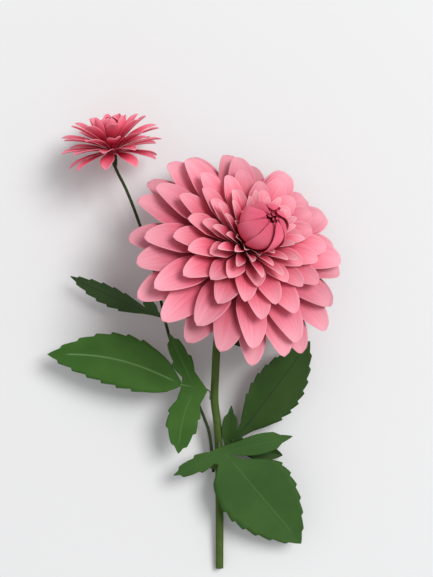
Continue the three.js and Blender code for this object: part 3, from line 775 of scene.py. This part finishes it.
def tube(name, line, radiusAt, sides, tape, material, slotName, *nodes):  # a wound bar along a line
    line = np.asarray(line, float)
    tangents = np.gradient(line, axis=0)
    tangents /= np.linalg.norm(tangents, axis=1)[:, None]
    run = np.concatenate([[0], np.cumsum(np.linalg.norm(np.diff(line, axis=0), axis=1))])
    side = np.cross(tangents[0], (0.0, 0.0, 1.0))
    side /= np.linalg.norm(side)
    points, faces, laps = [], [], []
    for spot, ahead, distance in zip(line, tangents, run):
        side = side - ahead * side.dot(ahead)
        side /= np.linalg.norm(side)
        over = np.cross(ahead, side)
        for j in range(sides):
            angle = 2 * math.pi * j / sides
            turn = (distance / tape["pitch"] + j / sides) % 1
            rising, dropping = turn / lapForm["rise"], (1 - turn) / (1 - lapForm["rise"])
            ramp = min(rising, dropping)  # each turn rises, then drops to the next
            radius = radiusAt(distance / run[-1]) - tape["depth"] * (1 - ramp)
            points.append(spot + (side * math.cos(angle) + over * math.sin(angle)) * radius)
            lap = smoothStep((turn - lapForm["markFrom"]) / lapForm["markWidth"])
            laps.append(lap * tape["mark"])
    rings = len(line)
    for i in range(rings - 1):
        for j in range(sides):
            following = (j + 1) % sides
            here, beyond = i * sides, (i + 1) * sides
            faces.append([here + j, here + following, beyond + following, beyond + j])
    caps = len(faces)
    faces.append(list(reversed(range(sides))))
    faces.append([(rings - 1) * sides + j for j in range(sides)])
    piece = makePiece(name, points, faces, {"tapeLap": laps}, caps, material)
    finishPiece(piece, slotName, *nodes)
    return piece


def onAxis(matrix, heights):
    return [tuple(matrix @ Vector((0, 0, h))) for h in heights]


def shifted(points):
    return [tuple(Vector(p) + layoutShift) for p in points]


mainStem = {
    "radius": 3.3, "reach": (-22, -14, 9), "sides": 40, "steps": 620,
    "path": [(2.5, -233, 3), (2.5, -184, 8.2), (1.2, -116.7, 16), (-1.6, -92, 19.5), (-0.8, -67, 23.5),
             (0, -50, 27)],
    "tape": {"pitch": 15, "depth": 0.07, "mark": 0.5},
}
branchStem = {
    "radius": 1.25, "reach": (-11.5, -6, 6), "sides": 20, "steps": 520,
    "path": [(-2.6, -152, 11.2), (-3.4, -140, 12.2), (-6.2, -118.6, 13.4), (-9.5, -108.7, 13.8),
             (-23, -77, 15), (-37.5, -44.1, 16), (-46.5, -7, 19), (-52.9, 20.9, 22), (-64.8, 58.3, 29),
             (-73.2, 80, 33)],
    "tape": {"pitch": 8, "depth": 0.06, "mark": 0.6},
}
for name, stem, matrix, key in (("main_stem", mainStem, bigMatrix, "stem"),
                                ("branch_stem", branchStem, smallMatrix, "branch")):
    line = smoothPath(shifted(stem["path"]) + onAxis(matrix, stem["reach"]), stem["steps"])
    radius = stem["radius"]
    tube(f"{name}_tape", line, lambda share, r=radius: r, stem["sides"], stem["tape"], tapePaper[key],
         key, name)

collar = {
    "bottom": -12, "top": -2.4, "bottomRadius": 2, "topRadius": 2.9, "taper": 0.5, "taperIn": 3,
    "sides": 28, "steps": 70, "tape": {"pitch": 3.2, "depth": 0.12, "mark": 0.6},
}
collarLine = onAxis(smallMatrix, np.linspace(collar["bottom"], collar["top"], collar["steps"]))
tube("small_flower_collar_tape", collarLine,
     lambda share: collar["bottomRadius"] + (collar["topRadius"] - collar["bottomRadius"]) * share
     - collar["taper"] * (1 - smoothStep(share * collar["taperIn"])),
     collar["sides"], collar["tape"], tapePaper["branch"], "branch", "small_flower_collar")

leafWire = {"radius": 0.6, "grip": 9, "stations": (-1.05, -0.7, -0.2), "sides": 14, "steps": 60,
            "tape": {"pitch": 4, "depth": 0.02, "mark": 0.3}}
for leaf in leaves:
    under = leafPaper / 2 + gap + leafWire["radius"]
    matrix = leafMatrix(leaf)
    path = shifted([leaf["foot"]])
    for u in [share * leaf["base"] for share in leafWire["stations"]] + [leafWire["grip"]]:
        drop = leaf["droop"] * (u / leaf["end"]["length"]) ** 2
        path.append(tuple(matrix @ Vector((u, 0, -under - drop))))
    line = smoothPath(path, leafWire["steps"])
    tube(f"{leaf['name']}_wire_paint", line, lambda share: leafWire["radius"], leafWire["sides"],
         leafWire["tape"], tapePaper["wire"], "leaf_wire", f"{leaf['name']}_wire")

for node, key in (("flower_core", "core"), ("small_flower_core", "core"), ("stem_binding", "stem")):
    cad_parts[node].data.materials.clear()
    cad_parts[node].data.materials.append(tapePaper[key])
print("stage: stems made")


studio = {
    "floorSize": 12.0, "floorDrop": 0.0005, "floorTone": 0.80, "floorRough": 0.9, "floorShine": 0.1,
    "worldTone": (0.97, 0.98, 1.0), "worldStrength": 0.54,
    "keyPlace": (3.0, 2.2, 5.4), "keySize": 3.2, "keyPower": 300.0,
}
view = {"height": 1140.0, "lens": 85.0, "sensor": 36.0, "far": 50}  # straight down; far in metres

floorMesh = bpy.data.meshes.new("floor")
reach = studio["floorSize"] / 2
corners = [(x * reach, y * reach, -studio["floorDrop"]) for x, y in ((-1, -1), (1, -1), (1, 1), (-1, 1))]
floorMesh.from_pydata(corners, [], [(0, 1, 2, 3)])
floor = bpy.data.objects.new("floor", floorMesh)
bpy.context.scene.collection.objects.link(floor)
floorMaterial = bpy.data.materials.new("paleFloor")
floorMaterial.use_nodes = True
floorShader = floorMaterial.node_tree.nodes["Principled BSDF"]
floorShader.inputs["Base Color"].default_value = (*[studio["floorTone"]] * 3, 1)
floorShader.inputs["Roughness"].default_value = studio["floorRough"]
floorShader.inputs["Specular IOR Level"].default_value = studio["floorShine"]
floorMesh.materials.append(floorMaterial)

world = bpy.data.worlds.new("softRoom")
world.use_nodes = True
world.node_tree.nodes["Background"].inputs["Color"].default_value = (*studio["worldTone"], 1)
world.node_tree.nodes["Background"].inputs["Strength"].default_value = studio["worldStrength"]
bpy.context.scene.world = world

keyData = bpy.data.lights.new("key", "AREA")
keyData.shape = "DISK"
keyData.size = studio["keySize"]
keyData.energy = studio["keyPower"]
key = bpy.data.objects.new("key", keyData)
key.location = studio["keyPlace"]
key.rotation_euler = (-Vector(studio["keyPlace"])).to_track_quat("-Z", "Y").to_euler()
bpy.context.scene.collection.objects.link(key)

cameraData = bpy.data.cameras.new("camera")
cameraData.lens = view["lens"]
cameraData.sensor_width = view["sensor"]
cameraData.clip_end = view["far"]
camera = bpy.data.objects.new("camera", cameraData)
camera.location = (layoutShift + Vector((0, 0, view["height"]))) * mm
bpy.context.scene.collection.objects.link(camera)
bpy.context.scene.camera = camera
bpy.context.scene.view_settings.view_transform = "Standard"

bpy.context.view_layer.update()
print("stage: scene ready")
